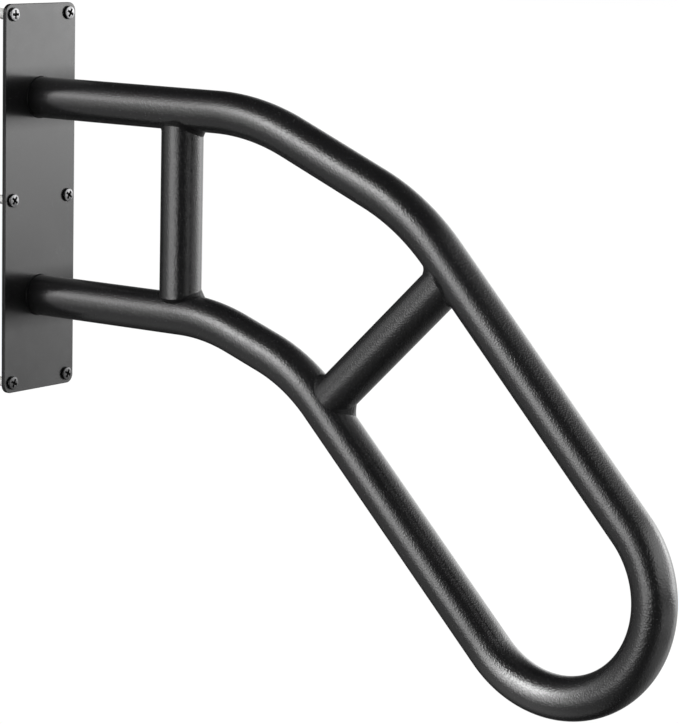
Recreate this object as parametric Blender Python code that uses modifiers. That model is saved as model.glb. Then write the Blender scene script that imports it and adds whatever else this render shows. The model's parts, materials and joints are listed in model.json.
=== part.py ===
"""Plate-mounted assist rail: one bent steel tube on a tall flat plate, braced by two struts.

Units are metres, +Z up. The origin is the centre of the plate's back face, the face that lies
on the wall. +X points out of the wall, along the rail's level runs, and the rail's centreline
lies in the plane Y = 0. Seen from the front, +Y is to the right.
"""
import math
from collections import namedtuple
from contextlib import contextmanager

import bmesh
import bpy
from mathutils import Matrix, Vector

# ---------------------------------------------------------------- driving dimensions
GAP = 0.0003  # clearance between neighbouring pieces

PLATE_T = 0.0035
PLATE_W = 0.080
PLATE_H = 0.304
PLATE_CORNER_R = 0.007
PLATE_CORNER_STEPS = 6
PLATE_EDGE = 0.0005  # chamfer round the plate's outline

TUBE_R = 0.016
TUBE_CLEAR_R = TUBE_R + GAP
TUBE_WALL = 0.002
TUBE_SIDES = 24
ARC_STEP = math.radians(7.0)  # largest turn between two points of a bend

# A run leaves the plate level at height z, bends down at corner x1 and again at corner x2.
# Slopes are measured down from level; r1 and r2 are the bends' centreline radii.
Run = namedtuple("Run", "z x1 slope1 r1 x2 slope2 r2")
UPPER = Run(
    z=0.079,
    x1=0.2175, slope1=math.radians(22.6), r1=0.1865,
    x2=0.362, slope2=math.radians(46.9), r2=0.175,
)
LOWER = Run(
    z=-0.077,
    x1=0.177, slope1=math.radians(19.7), r1=0.155,
    x2=0.2625, slope2=math.radians(45.7), r2=0.135,
)
UPPER_STRAIGHT = 0.277  # from the upper run's second corner to where the end loop starts

# Each strut lies on a line through a point (x, z). "Between" is a distance along the line
# from that point to a place between the two runs.
UPRIGHT_POINT = (0.1475, 0.0)
UPRIGHT_BETWEEN = 0.0
DIAGONAL_POINT = (0.2985, -0.119)
DIAGONAL_SLOPE = math.atan2(0.0985, 0.1005)  # rise over reach
DIAGONAL_BETWEEN = 0.05

STRUT_WELD_R = 0.0032
STRUT_WELD_SIDES = 10
STRUT_WELD_PATH_R = 0.0162  # radius of the bead's own path round the strut
STRUT_WELD_STEPS = 26
STRUT_WELD_SIDE = 0.005  # how far the bead stays off the run's axis at its sides

PLATE_WELD_LEG = 0.0032
# fillet section, as shares of the leg: (away from the tube, away from the plate)
PLATE_WELD_SECTION = (
    (0.0, 1.0), (0.18, 0.95), (0.45, 0.55), (0.95, 0.18), (1.0, 0.0), (0.0, 0.0),
)

SCREW_Y = 0.0315
SCREW_PITCH = 0.144
# level, height, and how far the left and right crosses are turned, in degrees clockwise
# seen from the front
SCREW_ROWS = (
    ("top", SCREW_PITCH, (0.0, 30.0)),
    ("middle", 0.0, (38.0, 36.0)),
    ("bottom", -SCREW_PITCH, (25.0, 26.0)),
)
HOLE_R = 0.00275
HOLE_SIDES = 20
HOLE_CENTRES = [(y, z) for _, z, _ in SCREW_ROWS for y in (-SCREW_Y, SCREW_Y)]

SCREW_SIDES = 20
HEAD_R = 0.0053
HEAD_SIDE = 0.0012  # height of the head's straight side
HEAD_H = 0.0024
HEAD_FLAT = 0.45  # share of the head's radius that is flat on top
DOME_STEPS = 4
SHANK_R = 0.0023
SCREW_LENGTH = 0.045  # under the head
TIP_LENGTH = 0.006
TIP_BREAK_R = SHANK_R * 0.55  # where the tip's taper changes
TIP_BREAK_H = TIP_LENGTH * 0.35  # height of that place above the point
RECESS_SPAN = 0.0068  # tip to tip of the cross
RECESS_WIDTH = 0.0013
RECESS_DEPTH = 0.0017
RECESS_FLOOR_SPAN = 0.42  # shares of the span and width left at the bottom
RECESS_FLOOR_WIDTH = 0.7
RECESS_OVERSHOOT = 0.0005  # how far the cutter stands above the head

PLUG_SIDES = 16
PLUG_R = 0.004
PLUG_LIP_R = 0.0047
PLUG_BORE_R = 0.00265
PLUG_END_R = PLUG_R * 0.82
PLUG_START = 0.003  # sunk this far below the wall's surface
PLUG_LENGTH = 0.040
PLUG_LIP_DEPTH = 0.0012  # straight part of the lip
PLUG_NECK_DEPTH = 0.002  # where the lip has narrowed to the body
PLUG_TAPER = 0.004  # length of the narrowing end

# turned pieces stand on Z; this lays them along X, out of the wall
OUT_OF_WALL = Matrix.Rotation(math.radians(90), 4, "Y")

# ---------------------------------------------------------------- a clean scene
for old in list(bpy.data.objects):
    bpy.data.objects.remove(old, do_unlink=True)

model = bpy.data.collections.new("assist_rail")
cutters = bpy.data.collections.new("cutters")
bpy.context.scene.collection.children.link(model)
bpy.context.scene.collection.children.link(cutters)


# ---------------------------------------------------------------- materials
def principled(name, colour, roughness, metallic):
    material = bpy.data.materials.new(name)
    material.use_nodes = True
    shader = material.node_tree.nodes["Principled BSDF"]
    shader.inputs["Base Color"].default_value = (*colour, 1.0)
    shader.inputs["Roughness"].default_value = roughness
    shader.inputs["Metallic"].default_value = metallic
    material.diffuse_color = (*colour, 1.0)
    return material


PLATE_BLACK = principled(
    "plate_powder_coat", colour=(0.024, 0.024, 0.025), roughness=0.42, metallic=0.0
)
TUBE_BLACK = principled(
    "tube_powder_coat", colour=(0.016, 0.016, 0.017), roughness=0.38, metallic=0.0
)
WELD_BLACK = principled(
    "weld_powder_coat", colour=(0.016, 0.016, 0.017), roughness=0.45, metallic=0.0
)
SCREW_STEEL = principled("screw_steel", colour=(0.36, 0.36, 0.37), roughness=0.34, metallic=1.0)
PLUG_NYLON = principled("plug_nylon", colour=(0.52, 0.53, 0.55), roughness=0.55, metallic=0.0)


# ---------------------------------------------------------------- objects and meshes
def place(name, mesh, material):
    piece = bpy.data.objects.new(name, mesh)
    model.objects.link(piece)
    mesh.materials.clear()
    mesh.materials.append(material)
    return piece


def place_helper(name, data):
    helper = bpy.data.objects.new(name, data)
    cutters.objects.link(helper)
    return helper


def place_cutter(name, mesh):
    cutter = place_helper(name, mesh)
    cutter.hide_render = True
    cutter.display_type = "WIRE"
    return cutter


def cut(piece, cutter, name):
    change = piece.modifiers.new(name, "BOOLEAN")
    change.operation = "DIFFERENCE"
    change.solver = "EXACT"
    change.object = cutter
    return change


@contextmanager
def editing(mesh):
    """Opens a mesh for bmesh work and writes it back at the end."""
    work = bmesh.new()
    work.from_mesh(mesh)
    yield work
    work.to_mesh(mesh)
    work.free()


def face_outwards(mesh):
    with editing(mesh) as work:
        bmesh.ops.recalc_face_normals(work, faces=work.faces)


def baked_mesh(helper, name):
    """The helper's mesh with its modifiers, its caps and sides joined; the helper goes."""
    bpy.context.view_layer.update()
    graph = bpy.context.evaluated_depsgraph_get()
    mesh = bpy.data.meshes.new_from_object(helper.evaluated_get(graph))
    mesh.name = name
    with editing(mesh) as work:
        bmesh.ops.remove_doubles(work, verts=work.verts, dist=0.000005)
    bpy.data.objects.remove(helper, do_unlink=True)
    return mesh


def tidy(mesh, within=0.00004):
    """Draws in the slivers that a cut leaves between the facets of round pieces."""
    with editing(mesh) as work:
        bmesh.ops.triangulate(work, faces=work.faces)
        bmesh.ops.remove_doubles(work, verts=work.verts, dist=within)
        bmesh.ops.dissolve_degenerate(work, edges=work.edges, dist=within)
        bmesh.ops.triangulate(work, faces=work.faces)
        bmesh.ops.recalc_face_normals(work, faces=work.faces)


def smooth(mesh, sharp_over):
    """Smooth shading, with edges sharper than the given degrees kept crisp."""
    mesh.shade_smooth()
    mesh.set_sharp_from_angle(angle=math.radians(sharp_over))


def add_loop(curve, points, cyclic):
    """Adds one straight-segment spline through the points (x, y, z)."""
    spline = curve.splines.new("POLY")
    spline.points.add(len(points) - 1)
    for slot, point in zip(spline.points, points):
        slot.co = (*point, 1.0)
    spline.use_cyclic_u = cyclic


def bar_mesh(name, points, radius, sides, caps=False, cyclic=False):
    """A round bar or open pipe along the points, made from a curve with a bevel."""
    curve = bpy.data.curves.new(name + "_curve", "CURVE")
    curve.dimensions = "3D"
    curve.twist_mode = "MINIMUM"
    curve.bevel_depth = radius
    curve.bevel_resolution = (sides - 4) // 2
    curve.use_fill_caps = caps
    add_loop(curve, points, cyclic)
    mesh = baked_mesh(place_helper(name + "_curve", curve), name)
    face_outwards(mesh)
    return mesh


def turned_mesh(name, profile, steps, closed):
    """A profile of (radius, height) turned about Z; closed joins its last point to its first."""
    mesh = bpy.data.meshes.new(name + "_profile")
    with editing(mesh) as work:
        verts = [work.verts.new((radius, 0.0, z)) for radius, z in profile]
        for pair in zip(verts, verts[1:]):
            work.edges.new(pair)
        if closed:
            work.edges.new((verts[-1], verts[0]))
    holder = place_helper(name + "_profile", mesh)
    turn = holder.modifiers.new("turn", "SCREW")
    turn.axis = "Z"
    turn.angle = math.radians(360)
    turn.steps = steps
    turn.render_steps = steps
    turn.use_merge_vertices = True
    turn.merge_threshold = 0.00001
    turned = baked_mesh(holder, name)
    face_outwards(turned)
    smooth(turned, sharp_over=40.0)
    return turned


# ---------------------------------------------------------------- the rail's centreline
def on_plane(x, z):
    return Vector((x, 0.0, z))


def slope_down(angle):
    return Vector((math.cos(angle), 0.0, -math.sin(angle)))


def arc_points(centre, start, turn):
    """Points on an arc about centre from start, turning by turn (positive is anticlockwise
    seen with +X to the right and +Z up), both ends included."""
    steps = max(2, math.ceil(abs(turn) / ARC_STEP))
    arm = start - centre
    points = []
    for i in range(steps + 1):
        angle = turn * i / steps
        x = arm.x * math.cos(angle) - arm.z * math.sin(angle)
        z = arm.x * math.sin(angle) + arm.z * math.cos(angle)
        points.append(centre + on_plane(x, z))
    return points


def rounded_corner(before, corner, after, radius):
    """The arc that rounds a corner of the centreline."""
    into = (corner - before).normalized()
    out = (after - corner).normalized()
    turn = math.atan2(into.x * out.z - into.z * out.x, into.dot(out))
    start = corner - into * (radius * math.tan(abs(turn) / 2))
    side = on_plane(-into.z, into.x) * (1.0 if turn > 0 else -1.0)
    return arc_points(start + side * radius, start, turn)


def run_corners(run):
    """A run's start at the plate and its two corners."""
    start = on_plane(PLATE_T + GAP, run.z)
    first = on_plane(run.x1, run.z)
    second = first + slope_down(run.slope1) * ((run.x2 - run.x1) / math.cos(run.slope1))
    return start, first, second


def rail_centreline():
    """The whole centreline from the plate, down the upper run, round the loop and back."""
    upper_start, upper_first, upper_second = run_corners(UPPER)
    lower_start, lower_first, lower_second = run_corners(LOWER)
    loop_start = upper_second + slope_down(UPPER.slope2) * UPPER_STRAIGHT

    # the end loop is one arc that meets both sloping runs smoothly
    from_upper = on_plane(-math.sin(UPPER.slope2), -math.cos(UPPER.slope2))
    from_lower = on_plane(math.sin(LOWER.slope2), math.cos(LOWER.slope2))
    apart = UPPER.slope2 - LOWER.slope2
    loop_r = (loop_start - lower_second).dot(from_lower) / (1 + math.cos(apart))
    loop = arc_points(loop_start + from_upper * loop_r, loop_start, -(math.pi - apart))

    return [
        upper_start,
        *rounded_corner(upper_start, upper_first, upper_second, UPPER.r1),
        *rounded_corner(upper_first, upper_second, loop_start, UPPER.r2),
        *loop,
        *rounded_corner(loop[-1], lower_second, lower_first, LOWER.r2),
        *rounded_corner(lower_second, lower_first, lower_start, LOWER.r1),
        lower_start,
    ]


def crossings(points, origin, heading):
    """Where the centreline crosses a line in its plane, as (distance along the line, run
    direction there), nearest first."""
    found = []
    for start, end in zip(points, points[1:]):
        step = end - start
        cross = heading.x * step.z - heading.z * step.x
        if abs(cross) < 1e-12:  # parallel
            continue
        away = start - origin
        distance = (away.x * step.z - away.z * step.x) / cross
        share = (away.x * heading.z - away.z * heading.x) / cross
        if -1e-9 <= share < 1 - 1e-9:  # within this segment, its end left to the next
            found.append((distance, step.normalized()))
    return sorted(found, key=lambda hit: hit[0])


# ---------------------------------------------------------------- wall plate
def plate_rim():
    """The plate's rounded outline as (y, z, 0)."""
    rim = []
    for quarter, (side_y, side_z) in enumerate(((1, 1), (-1, 1), (-1, -1), (1, -1))):
        centre_y = side_y * (PLATE_W / 2 - PLATE_CORNER_R)
        centre_z = side_z * (PLATE_H / 2 - PLATE_CORNER_R)
        for i in range(PLATE_CORNER_STEPS + 1):
            angle = math.radians(90.0) * (quarter + i / PLATE_CORNER_STEPS)
            y = centre_y + PLATE_CORNER_R * math.cos(angle)
            z = centre_z + PLATE_CORNER_R * math.sin(angle)
            rim.append((y, z, 0.0))
    return rim


def hole_rim(centre_y, centre_z):
    angles = [2 * math.pi * i / HOLE_SIDES for i in range(HOLE_SIDES)]
    return [
        (centre_y + HOLE_R * math.cos(angle), centre_z + HOLE_R * math.sin(angle), 0.0)
        for angle in angles
    ]


def is_outline_edge(edge):
    """True for the edges where the plate's faces meet its outer side."""
    if len(edge.link_faces) != 2 or edge.calc_face_angle(0.0) < math.radians(60):
        return False
    middle = (edge.verts[0].co + edge.verts[1].co) / 2
    return all(
        math.hypot(middle.y - y, middle.z - z) >= HOLE_R * 1.2 for y, z in HOLE_CENTRES
    )


def build_wall_plate():
    outline = bpy.data.curves.new("wall_plate_outline", "CURVE")
    outline.dimensions = "2D"
    outline.fill_mode = "BOTH"
    outline.extrude = PLATE_T / 2
    add_loop(outline, plate_rim(), cyclic=True)
    for y, z in HOLE_CENTRES:
        add_loop(outline, hole_rim(y, z), cyclic=True)
    mesh = baked_mesh(place_helper("wall_plate_outline", outline), "wall_plate")

    # the outline is drawn in its own x and y: stand it up, so that x is across and y is up
    stand_up = Matrix(((0, 0, 1, 0), (1, 0, 0, 0), (0, 1, 0, 0), (0, 0, 0, 1)))
    mesh.transform(Matrix.Translation((PLATE_T / 2, 0.0, 0.0)) @ stand_up)
    with editing(mesh) as work:
        bmesh.ops.dissolve_limit(
            work, angle_limit=math.radians(0.5), verts=work.verts, edges=work.edges
        )
        bmesh.ops.bevel(
            work,
            geom=[edge for edge in work.edges if is_outline_edge(edge)],
            offset=PLATE_EDGE,
            offset_type="OFFSET",
            segments=1,
            profile=0.5,
            affect="EDGES",
            clamp_overlap=True,
        )
        bmesh.ops.recalc_face_normals(work, faces=work.faces)
    smooth(mesh, sharp_over=30.0)
    place("wall_plate", mesh, PLATE_BLACK)


# ---------------------------------------------------------------- tubes, struts and welds
def hollow_tube(name, points):
    mesh = bar_mesh(name, points, TUBE_R, TUBE_SIDES)
    smooth(mesh, sharp_over=35.0)
    tube = place(name, mesh, TUBE_BLACK)
    wall = tube.modifiers.new("tube_wall", "SOLIDIFY")
    wall.thickness = TUBE_WALL
    wall.offset = -1.0  # inwards
    wall.use_even_offset = True
    wall.use_rim = True
    return tube


def tube_cutter(name, points):
    """A solid bar that is wider than the tube by the clearance."""
    return place_cutter(name, bar_mesh(name, points, TUBE_CLEAR_R, TUBE_SIDES, caps=True))


def build_strut_weld(name, root, along, run, strut_cutter, rail_cutter):
    """The bead round a strut's end: a round bead about where strut and run meet, less the
    two tubes themselves. along points from the run into the strut."""
    across = Vector((0.0, 1.0, 0.0))
    beside = across.cross(along).normalized()
    tilt = along.dot(run)  # zero where the strut stands square on the run
    lean = beside.dot(run)
    square = math.sqrt(1 - tilt**2)
    path = []
    for i in range(STRUT_WELD_STEPS):
        angle = 2 * math.pi * (i + 0.5) / STRUT_WELD_STEPS
        side = STRUT_WELD_PATH_R * math.cos(angle)
        wide = STRUT_WELD_PATH_R * math.sin(angle)
        # height at which the strut's surface roughly leaves the run's, at (side, wide)
        reach = math.sqrt(STRUT_WELD_PATH_R**2 - wide**2 + STRUT_WELD_SIDE**2)
        height = (reach + side * tilt * lean) / square
        path.append(root + beside * side + across * wide + along * height)
    bead = bar_mesh(name + "_blank", path, STRUT_WELD_R, STRUT_WELD_SIDES, cyclic=True)
    blank = place_helper(name + "_blank", bead)
    cut(blank, strut_cutter, "round_strut")
    cut(blank, rail_cutter, "round_run")
    mesh = baked_mesh(blank, name)
    tidy(mesh)
    smooth(mesh, sharp_over=50.0)
    place(name, mesh, WELD_BLACK)


def build_strut(name, origin, heading, between, centreline, rail_cutter):
    """A strut between the crossings just below and just above a place on its line, coped to
    the rail, with a weld at each end."""
    hits = crossings(centreline, origin, heading)
    low, low_run = [hit for hit in hits if hit[0] < between][-1]
    high, high_run = [hit for hit in hits if hit[0] >= between][0]
    start = origin + heading * low
    end = origin + heading * high
    cut(hollow_tube(name, [start, end]), rail_cutter, "cope")
    cutter = tube_cutter(name + "_cutter", [start, end])
    build_strut_weld(name + "_bottom_weld", start, heading, low_run, cutter, rail_cutter)
    build_strut_weld(name + "_top_weld", end, -heading, high_run, cutter, rail_cutter)


def build_rail_and_struts():
    centreline = rail_centreline()
    hollow_tube("rail_tube", centreline)
    rail_cutter = tube_cutter("rail_cutter", centreline)
    upright = Vector((0.0, 0.0, 1.0))
    diagonal = on_plane(math.cos(DIAGONAL_SLOPE), math.sin(DIAGONAL_SLOPE))
    for name, point, heading, between in (
        ("vertical_strut", UPRIGHT_POINT, upright, UPRIGHT_BETWEEN),
        ("diagonal_strut", DIAGONAL_POINT, diagonal, DIAGONAL_BETWEEN),
    ):
        build_strut(name, on_plane(*point), heading, between, centreline, rail_cutter)


def build_plate_welds():
    """A fillet between the plate and each end of the tube."""
    profile = [
        (TUBE_CLEAR_R + PLATE_WELD_LEG * outward, GAP + PLATE_WELD_LEG * upward)
        for outward, upward in PLATE_WELD_SECTION
    ]
    mesh = turned_mesh("plate_weld", profile, TUBE_SIDES, closed=True)
    for name, z in (("upper_plate_weld", UPPER.z), ("lower_plate_weld", LOWER.z)):
        weld = place(name, mesh, WELD_BLACK)
        weld.matrix_world = Matrix.Translation((PLATE_T, 0.0, z)) @ OUT_OF_WALL


# ---------------------------------------------------------------- screws and wall plugs
def recess_cutter_mesh():
    """Two crossed wedges that narrow towards the bottom."""
    mesh = bpy.data.meshes.new("recess_cutter")
    with editing(mesh) as work:
        for degrees in (0, 90):
            verts = bmesh.ops.create_cube(work, size=1.0)["verts"]
            for vert in verts:
                low = vert.co.z < 0
                vert.co.x *= RECESS_SPAN * (RECESS_FLOOR_SPAN if low else 1.0)
                vert.co.y *= RECESS_WIDTH * (RECESS_FLOOR_WIDTH if low else 1.0)
                vert.co.z = GAP + HEAD_H + (-RECESS_DEPTH if low else RECESS_OVERSHOOT)
            spin = Matrix.Rotation(math.radians(degrees), 3, "Z")
            bmesh.ops.rotate(work, verts=verts, cent=(0, 0, 0), matrix=spin)
    return mesh


def pan_head_screw_mesh():
    """Pan head with a cross recess, plain shank and pointed tip."""
    head = []
    for i in range(DOME_STEPS + 1):
        angle = math.radians(90) * i / DOME_STEPS
        radius = HEAD_R * (HEAD_FLAT + (1 - HEAD_FLAT) * math.sin(angle))
        head.append((radius, GAP + HEAD_SIDE + (HEAD_H - HEAD_SIDE) * math.cos(angle)))
    point = GAP - SCREW_LENGTH
    profile = [
        (0.0, GAP + HEAD_H),
        *head,
        (HEAD_R, GAP),
        (SHANK_R, GAP),
        (SHANK_R, point + TIP_LENGTH),
        (TIP_BREAK_R, point + TIP_BREAK_H),
        (0.0, point),
    ]
    turned = turned_mesh("screw_blank", profile, SCREW_SIDES, closed=False)
    blank = place_helper("screw_blank", turned)
    cutter = place_cutter("recess_cutter", recess_cutter_mesh())
    cut(blank, cutter, "cross_recess").use_self = True  # the two wedges overlap
    mesh = baked_mesh(blank, "pan_head_screw")
    smooth(mesh, sharp_over=32.0)
    return mesh


def wall_plug_mesh():
    """A bored sleeve with a lip at its mouth and a narrowing far end."""
    top = -PLUG_START
    end = top - PLUG_LENGTH
    profile = [
        (PLUG_LIP_R, top),
        (PLUG_LIP_R, top - PLUG_LIP_DEPTH),
        (PLUG_R, top - PLUG_NECK_DEPTH),
        (PLUG_R, end + PLUG_TAPER),
        (PLUG_END_R, end),
        (PLUG_BORE_R, end),
        (PLUG_BORE_R, top),
    ]
    return turned_mesh("wall_plug", profile, PLUG_SIDES, closed=True)


def build_fixings():
    screw_mesh = pan_head_screw_mesh()
    plug_mesh = wall_plug_mesh()
    for level, z, turns in SCREW_ROWS:
        for side, y, turn in zip(("left", "right"), (-SCREW_Y, SCREW_Y), turns):
            screw = place(f"{level}_{side}_screw", screw_mesh, SCREW_STEEL)
            spin = Matrix.Rotation(-math.radians(turn), 4, "Z")
            screw.matrix_world = Matrix.Translation((PLATE_T, y, z)) @ OUT_OF_WALL @ spin
            plug = place(f"{level}_{side}_wall_plug", plug_mesh, PLUG_NYLON)
            plug.matrix_world = Matrix.Translation((0.0, y, z)) @ OUT_OF_WALL


build_wall_plate()
build_rail_and_struts()
build_plate_welds()
build_fixings()
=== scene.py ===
"""A plate-mounted assist rail: a bent tube looping out from a wall plate, two struts between its
runs, weld beads, six pan-head screws and their wall plugs.

Metres, +Z up, +X out of the wall, the rail's centreline in the plane Y = 0, the wall at X = 0.
Every visible piece rides on the one rigid body and stands for one node of the frame.
"""
import json
import math
from contextlib import contextmanager

import bmesh
import bpy
import numpy as np
from mathutils import Matrix, Vector
from mathutils.kdtree import KDTree

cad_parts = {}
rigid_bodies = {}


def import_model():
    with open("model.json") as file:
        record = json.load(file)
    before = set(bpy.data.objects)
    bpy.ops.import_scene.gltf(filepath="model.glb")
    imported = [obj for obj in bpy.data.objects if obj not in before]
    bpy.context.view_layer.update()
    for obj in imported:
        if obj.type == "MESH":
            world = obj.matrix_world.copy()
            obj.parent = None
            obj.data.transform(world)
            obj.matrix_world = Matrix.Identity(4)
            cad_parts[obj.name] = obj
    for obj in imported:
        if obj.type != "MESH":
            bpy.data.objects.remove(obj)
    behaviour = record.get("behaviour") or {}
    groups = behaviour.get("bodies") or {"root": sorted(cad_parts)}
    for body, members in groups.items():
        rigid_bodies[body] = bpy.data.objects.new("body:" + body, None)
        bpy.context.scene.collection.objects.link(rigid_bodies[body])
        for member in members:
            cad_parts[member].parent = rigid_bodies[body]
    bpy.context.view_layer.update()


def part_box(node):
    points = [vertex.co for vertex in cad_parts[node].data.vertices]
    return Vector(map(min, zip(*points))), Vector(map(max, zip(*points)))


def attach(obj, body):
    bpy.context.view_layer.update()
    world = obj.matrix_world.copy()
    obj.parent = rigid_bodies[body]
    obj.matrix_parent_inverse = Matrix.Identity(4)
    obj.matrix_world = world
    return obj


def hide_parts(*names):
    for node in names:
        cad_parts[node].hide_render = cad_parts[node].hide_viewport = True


for old in list(bpy.data.objects):
    bpy.data.objects.remove(old, do_unlink=True)

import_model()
BODY = "root"

# ------------------------------------------------------------------ driving sizes
plate_low, plate_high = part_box("wall_plate")
rail_low, rail_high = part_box("rail_tube")
strut_low, strut_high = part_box("vertical_strut")
PLATE_T = plate_high.x
PLATE_W = plate_high.y - plate_low.y
PLATE_H = plate_high.z - plate_low.z
TUBE_R = (rail_high.y - rail_low.y) / 2
TUBE_WALL = 0.002
TUBE_SIDES = 112

# heights at which the rail's two runs leave the plate
UPPER_Z, LOWER_Z = 0.079, -0.077
# each run's bends, outwards from the plate: X of the corner, slope down after it, bend radius
UPPER_BENDS = ((0.2175, math.radians(22.6), 0.1865), (0.362, math.radians(46.9), 0.175))
LOWER_BENDS = ((0.177, math.radians(19.7), 0.155), (0.2625, math.radians(45.7), 0.135))
UPPER_STRAIGHT = 0.277  # from the upper run's last corner to the end loop

# screw centres, taken top to bottom and left (-Y) to right (+Y)
SCREW_Y, SCREW_PITCH = 0.0315, 0.144
SCREW_PLACES = [(y, z) for z in (SCREW_PITCH, 0.0, -SCREW_PITCH) for y in (-SCREW_Y, SCREW_Y)]
SCREW_NAMES = [f"{level}_{hand}" for level in ("top", "middle", "bottom") for hand in ("left", "right")]
SCREW_TURNS = (0.0, 30.0, 38.0, 36.0, 25.0, 26.0)  # degrees each recess is turned


# ------------------------------------------------------------------ mesh helpers
def link(name, mesh, material, node, degrees, weighted=False):
    """A finished piece: named, coated, shaded, riding on the body and standing for its node."""
    made = bpy.data.objects.new(name, mesh)
    bpy.context.scene.collection.objects.link(made)
    if not mesh.materials:
        mesh.materials.append(material)
    mesh.shade_smooth()
    mesh.set_sharp_from_angle(angle=math.radians(degrees))
    if weighted:
        keep_flat = made.modifiers.new("keep_flat", "WEIGHTED_NORMAL")
        keep_flat.keep_sharp = True
        keep_flat.weight = 100
    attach(made, BODY)
    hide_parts(node)


@contextmanager
def editing(mesh):
    """Lend the mesh out for editing, then turn its normals outwards and store it."""
    work = bmesh.new()
    work.from_mesh(mesh)
    yield work
    bmesh.ops.recalc_face_normals(work, faces=work.faces)
    work.to_mesh(mesh)
    work.free()


def stored(name, work):
    """A new mesh holding what has been worked."""
    mesh = bpy.data.meshes.new(name)
    work.to_mesh(mesh)
    work.free()
    return mesh


def mesh_from(name, points, faces):
    mesh = bpy.data.meshes.new(name)
    mesh.from_pydata([tuple(map(float, point)) for point in points], [], faces)
    with editing(mesh):
        pass  # only the normals need turning
    return mesh


def evaluated(holder):
    bpy.context.view_layer.update()
    return bpy.data.meshes.new_from_object(
        holder.evaluated_get(bpy.context.evaluated_depsgraph_get())
    )


def combined(mesh, other_mesh, operation, **settings):
    """The boolean of two meshes."""
    holder = bpy.data.objects.new("holder", mesh)
    other = bpy.data.objects.new("other", other_mesh)
    bpy.context.scene.collection.objects.link(holder)
    bpy.context.scene.collection.objects.link(other)
    change = holder.modifiers.new("combine", "BOOLEAN")
    change.operation = operation
    change.solver = "EXACT"
    change.object = other
    for key, value in settings.items():
        setattr(change, key, value)
    made = evaluated(holder)
    bpy.data.objects.remove(holder, do_unlink=True)
    bpy.data.objects.remove(other, do_unlink=True)
    return made


def carved(mesh, cutter):
    """The mesh less the cutter, the cut faces taking the cutter's material."""
    return combined(mesh, cutter, "DIFFERENCE", use_self=True, material_mode="TRANSFER")


def bevel(work, edges, offset, segments):
    bmesh.ops.bevel(
        work, geom=edges, offset=offset, offset_type="OFFSET", segments=segments, profile=0.5,
        affect="EDGES", clamp_overlap=True, material=0,
    )


def band(first, second, sides, flip=False):
    """Quads between the rings of points that start at two indices."""
    made = []
    for j in range(sides):
        k = (j + 1) % sides
        quad = (first + j, first + k, second + k, second + j)
        made.append(quad[::-1] if flip else quad)
    return made


def rings(count, sides, start=0, flip=False, closed=False):
    """Quads between successive rings of points."""
    made = []
    for i in range(count if closed else count - 1):
        made += band(start + i * sides, start + ((i + 1) % count) * sides, sides, flip)
    return made


def hollow_tube(name, rows, sides):
    """A tube from its outer rings, then as many inner rings, closed across both ends."""
    count = len(rows) // 2
    inner = count * sides
    faces = rings(count, sides) + rings(count, sides, inner, flip=True)
    faces += band(0, inner, sides, flip=True)
    faces += band((count - 1) * sides, inner + (count - 1) * sides, sides)
    return mesh_from(name, np.concatenate(rows), faces)


# ------------------------------------------------------------------ the rail's centreline, in (x, z)
def down(slope):
    return np.array((math.cos(slope), -math.sin(slope)))


def turned(arm, angle):
    cos, sin = math.cos(angle), math.sin(angle)
    return np.array((arm[0] * cos - arm[1] * sin, arm[0] * sin + arm[1] * cos))


def corner(before, at, after, radius):
    """(centre, start, turn) of the arc that rounds a corner."""
    into = (at - before) / np.linalg.norm(at - before)
    out = (after - at) / np.linalg.norm(after - at)
    turn = math.atan2(into[0] * out[1] - into[1] * out[0], float(into @ out))
    start = at - into * radius * math.tan(abs(turn) / 2)
    side = np.array((-into[1], into[0])) * (1 if turn > 0 else -1)
    return start + side * radius, start, turn


def run_corners(height, bends):
    """A run's foot on the plate and its two corners."""
    (near_x, near_slope, _), (far_x, _, _) = bends
    near = np.array((near_x, height))
    far = near + down(near_slope) * (far_x - near_x) / math.cos(near_slope)
    return np.array((PLATE_T, height)), near, far


def rail_arcs():
    """The centreline's first point, its five arcs and its last point."""
    upper_foot, upper_near, upper_far = run_corners(UPPER_Z, UPPER_BENDS)
    lower_foot, lower_near, lower_far = run_corners(LOWER_Z, LOWER_BENDS)
    (_, _, upper_near_r), (_, upper_slope, upper_far_r) = UPPER_BENDS
    (_, _, lower_near_r), (_, lower_slope, lower_far_r) = LOWER_BENDS
    loop_start = upper_far + down(upper_slope) * UPPER_STRAIGHT
    # the end loop touches both outer straights
    below_upper = np.array((-math.sin(upper_slope), -math.cos(upper_slope)))
    above_lower = np.array((math.sin(lower_slope), math.cos(lower_slope)))
    apart = upper_slope - lower_slope
    loop_r = float((loop_start - lower_far) @ above_lower) / (1 + math.cos(apart))
    centre = loop_start + below_upper * loop_r
    turn = -(math.pi - apart)
    loop_end = centre + turned(loop_start - centre, turn)
    arcs = [
        corner(upper_foot, upper_near, upper_far, upper_near_r),
        corner(upper_near, upper_far, loop_start, upper_far_r),
        (centre, loop_start, turn),
        corner(loop_end, lower_far, lower_near, lower_far_r),
        corner(lower_far, lower_near, lower_foot, lower_near_r),
    ]
    return upper_foot, arcs, lower_foot


def sampled(arc_step, line_step):
    """Points and tangents along the whole centreline."""
    start, arcs, end = rail_arcs()
    points, tangents = [], []

    def line(first, second, last):
        length = np.linalg.norm(second - first)
        count = max(1, math.ceil(length / line_step))
        for i in range(count + (1 if last else 0)):
            points.append(first + (second - first) * i / count)
            tangents.append((second - first) / length)

    at = start
    for centre, first, turn in arcs:
        line(at, first, False)
        arm = first - centre
        count = max(2, math.ceil(abs(turn) / arc_step))
        sign = 1 if turn > 0 else -1
        for i in range(count):
            now = turned(arm, turn * i / count)
            points.append(centre + now)
            tangents.append(np.array((-now[1], now[0])) * sign / np.linalg.norm(now))
        at = centre + turned(arm, turn)
    line(at, end, True)
    return np.array(points), np.array(tangents)


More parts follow.
